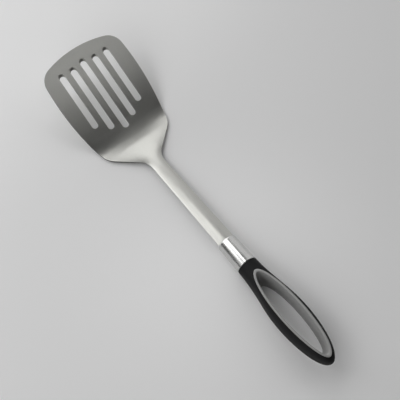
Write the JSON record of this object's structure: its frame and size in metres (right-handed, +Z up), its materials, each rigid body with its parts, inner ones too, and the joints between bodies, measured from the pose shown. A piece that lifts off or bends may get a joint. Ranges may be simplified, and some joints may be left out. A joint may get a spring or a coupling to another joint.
{
  "type": "slotted turner",
  "caption": "Slotted kitchen turner: a bent steel blade with long slots on a crowned neck, a polished ferrule, and a soft black handle that opens into a hanging loop.",
  "frame": {"origin": "under the middle of the bounding box, on the surface that the turner lies on", "axes": "+X along the tool towards the blade's front edge, +Y to its left, +Z up, with the turner lying on its heel and the front of its ferrule"},
  "size_m": [0.332, 0.0774, 0.0319],
  "materials": {
    "satin_steel": "satin stainless steel, finely brushed along the tool",
    "polished_steel": "polished stainless steel",
    "grey_core": "matte mid-grey moulded plastic",
    "black_grip": "satin black soft overmould",
    "pin_steel": "plain turned steel"
  },
  "bodies": {
    "root": {"blade_neck": "satin_steel", "ferrule": "polished_steel", "handle_core": "grey_core", "grip": "black_grip", "tang_pin": "pin_steel"}
  },
  "joints": []
}
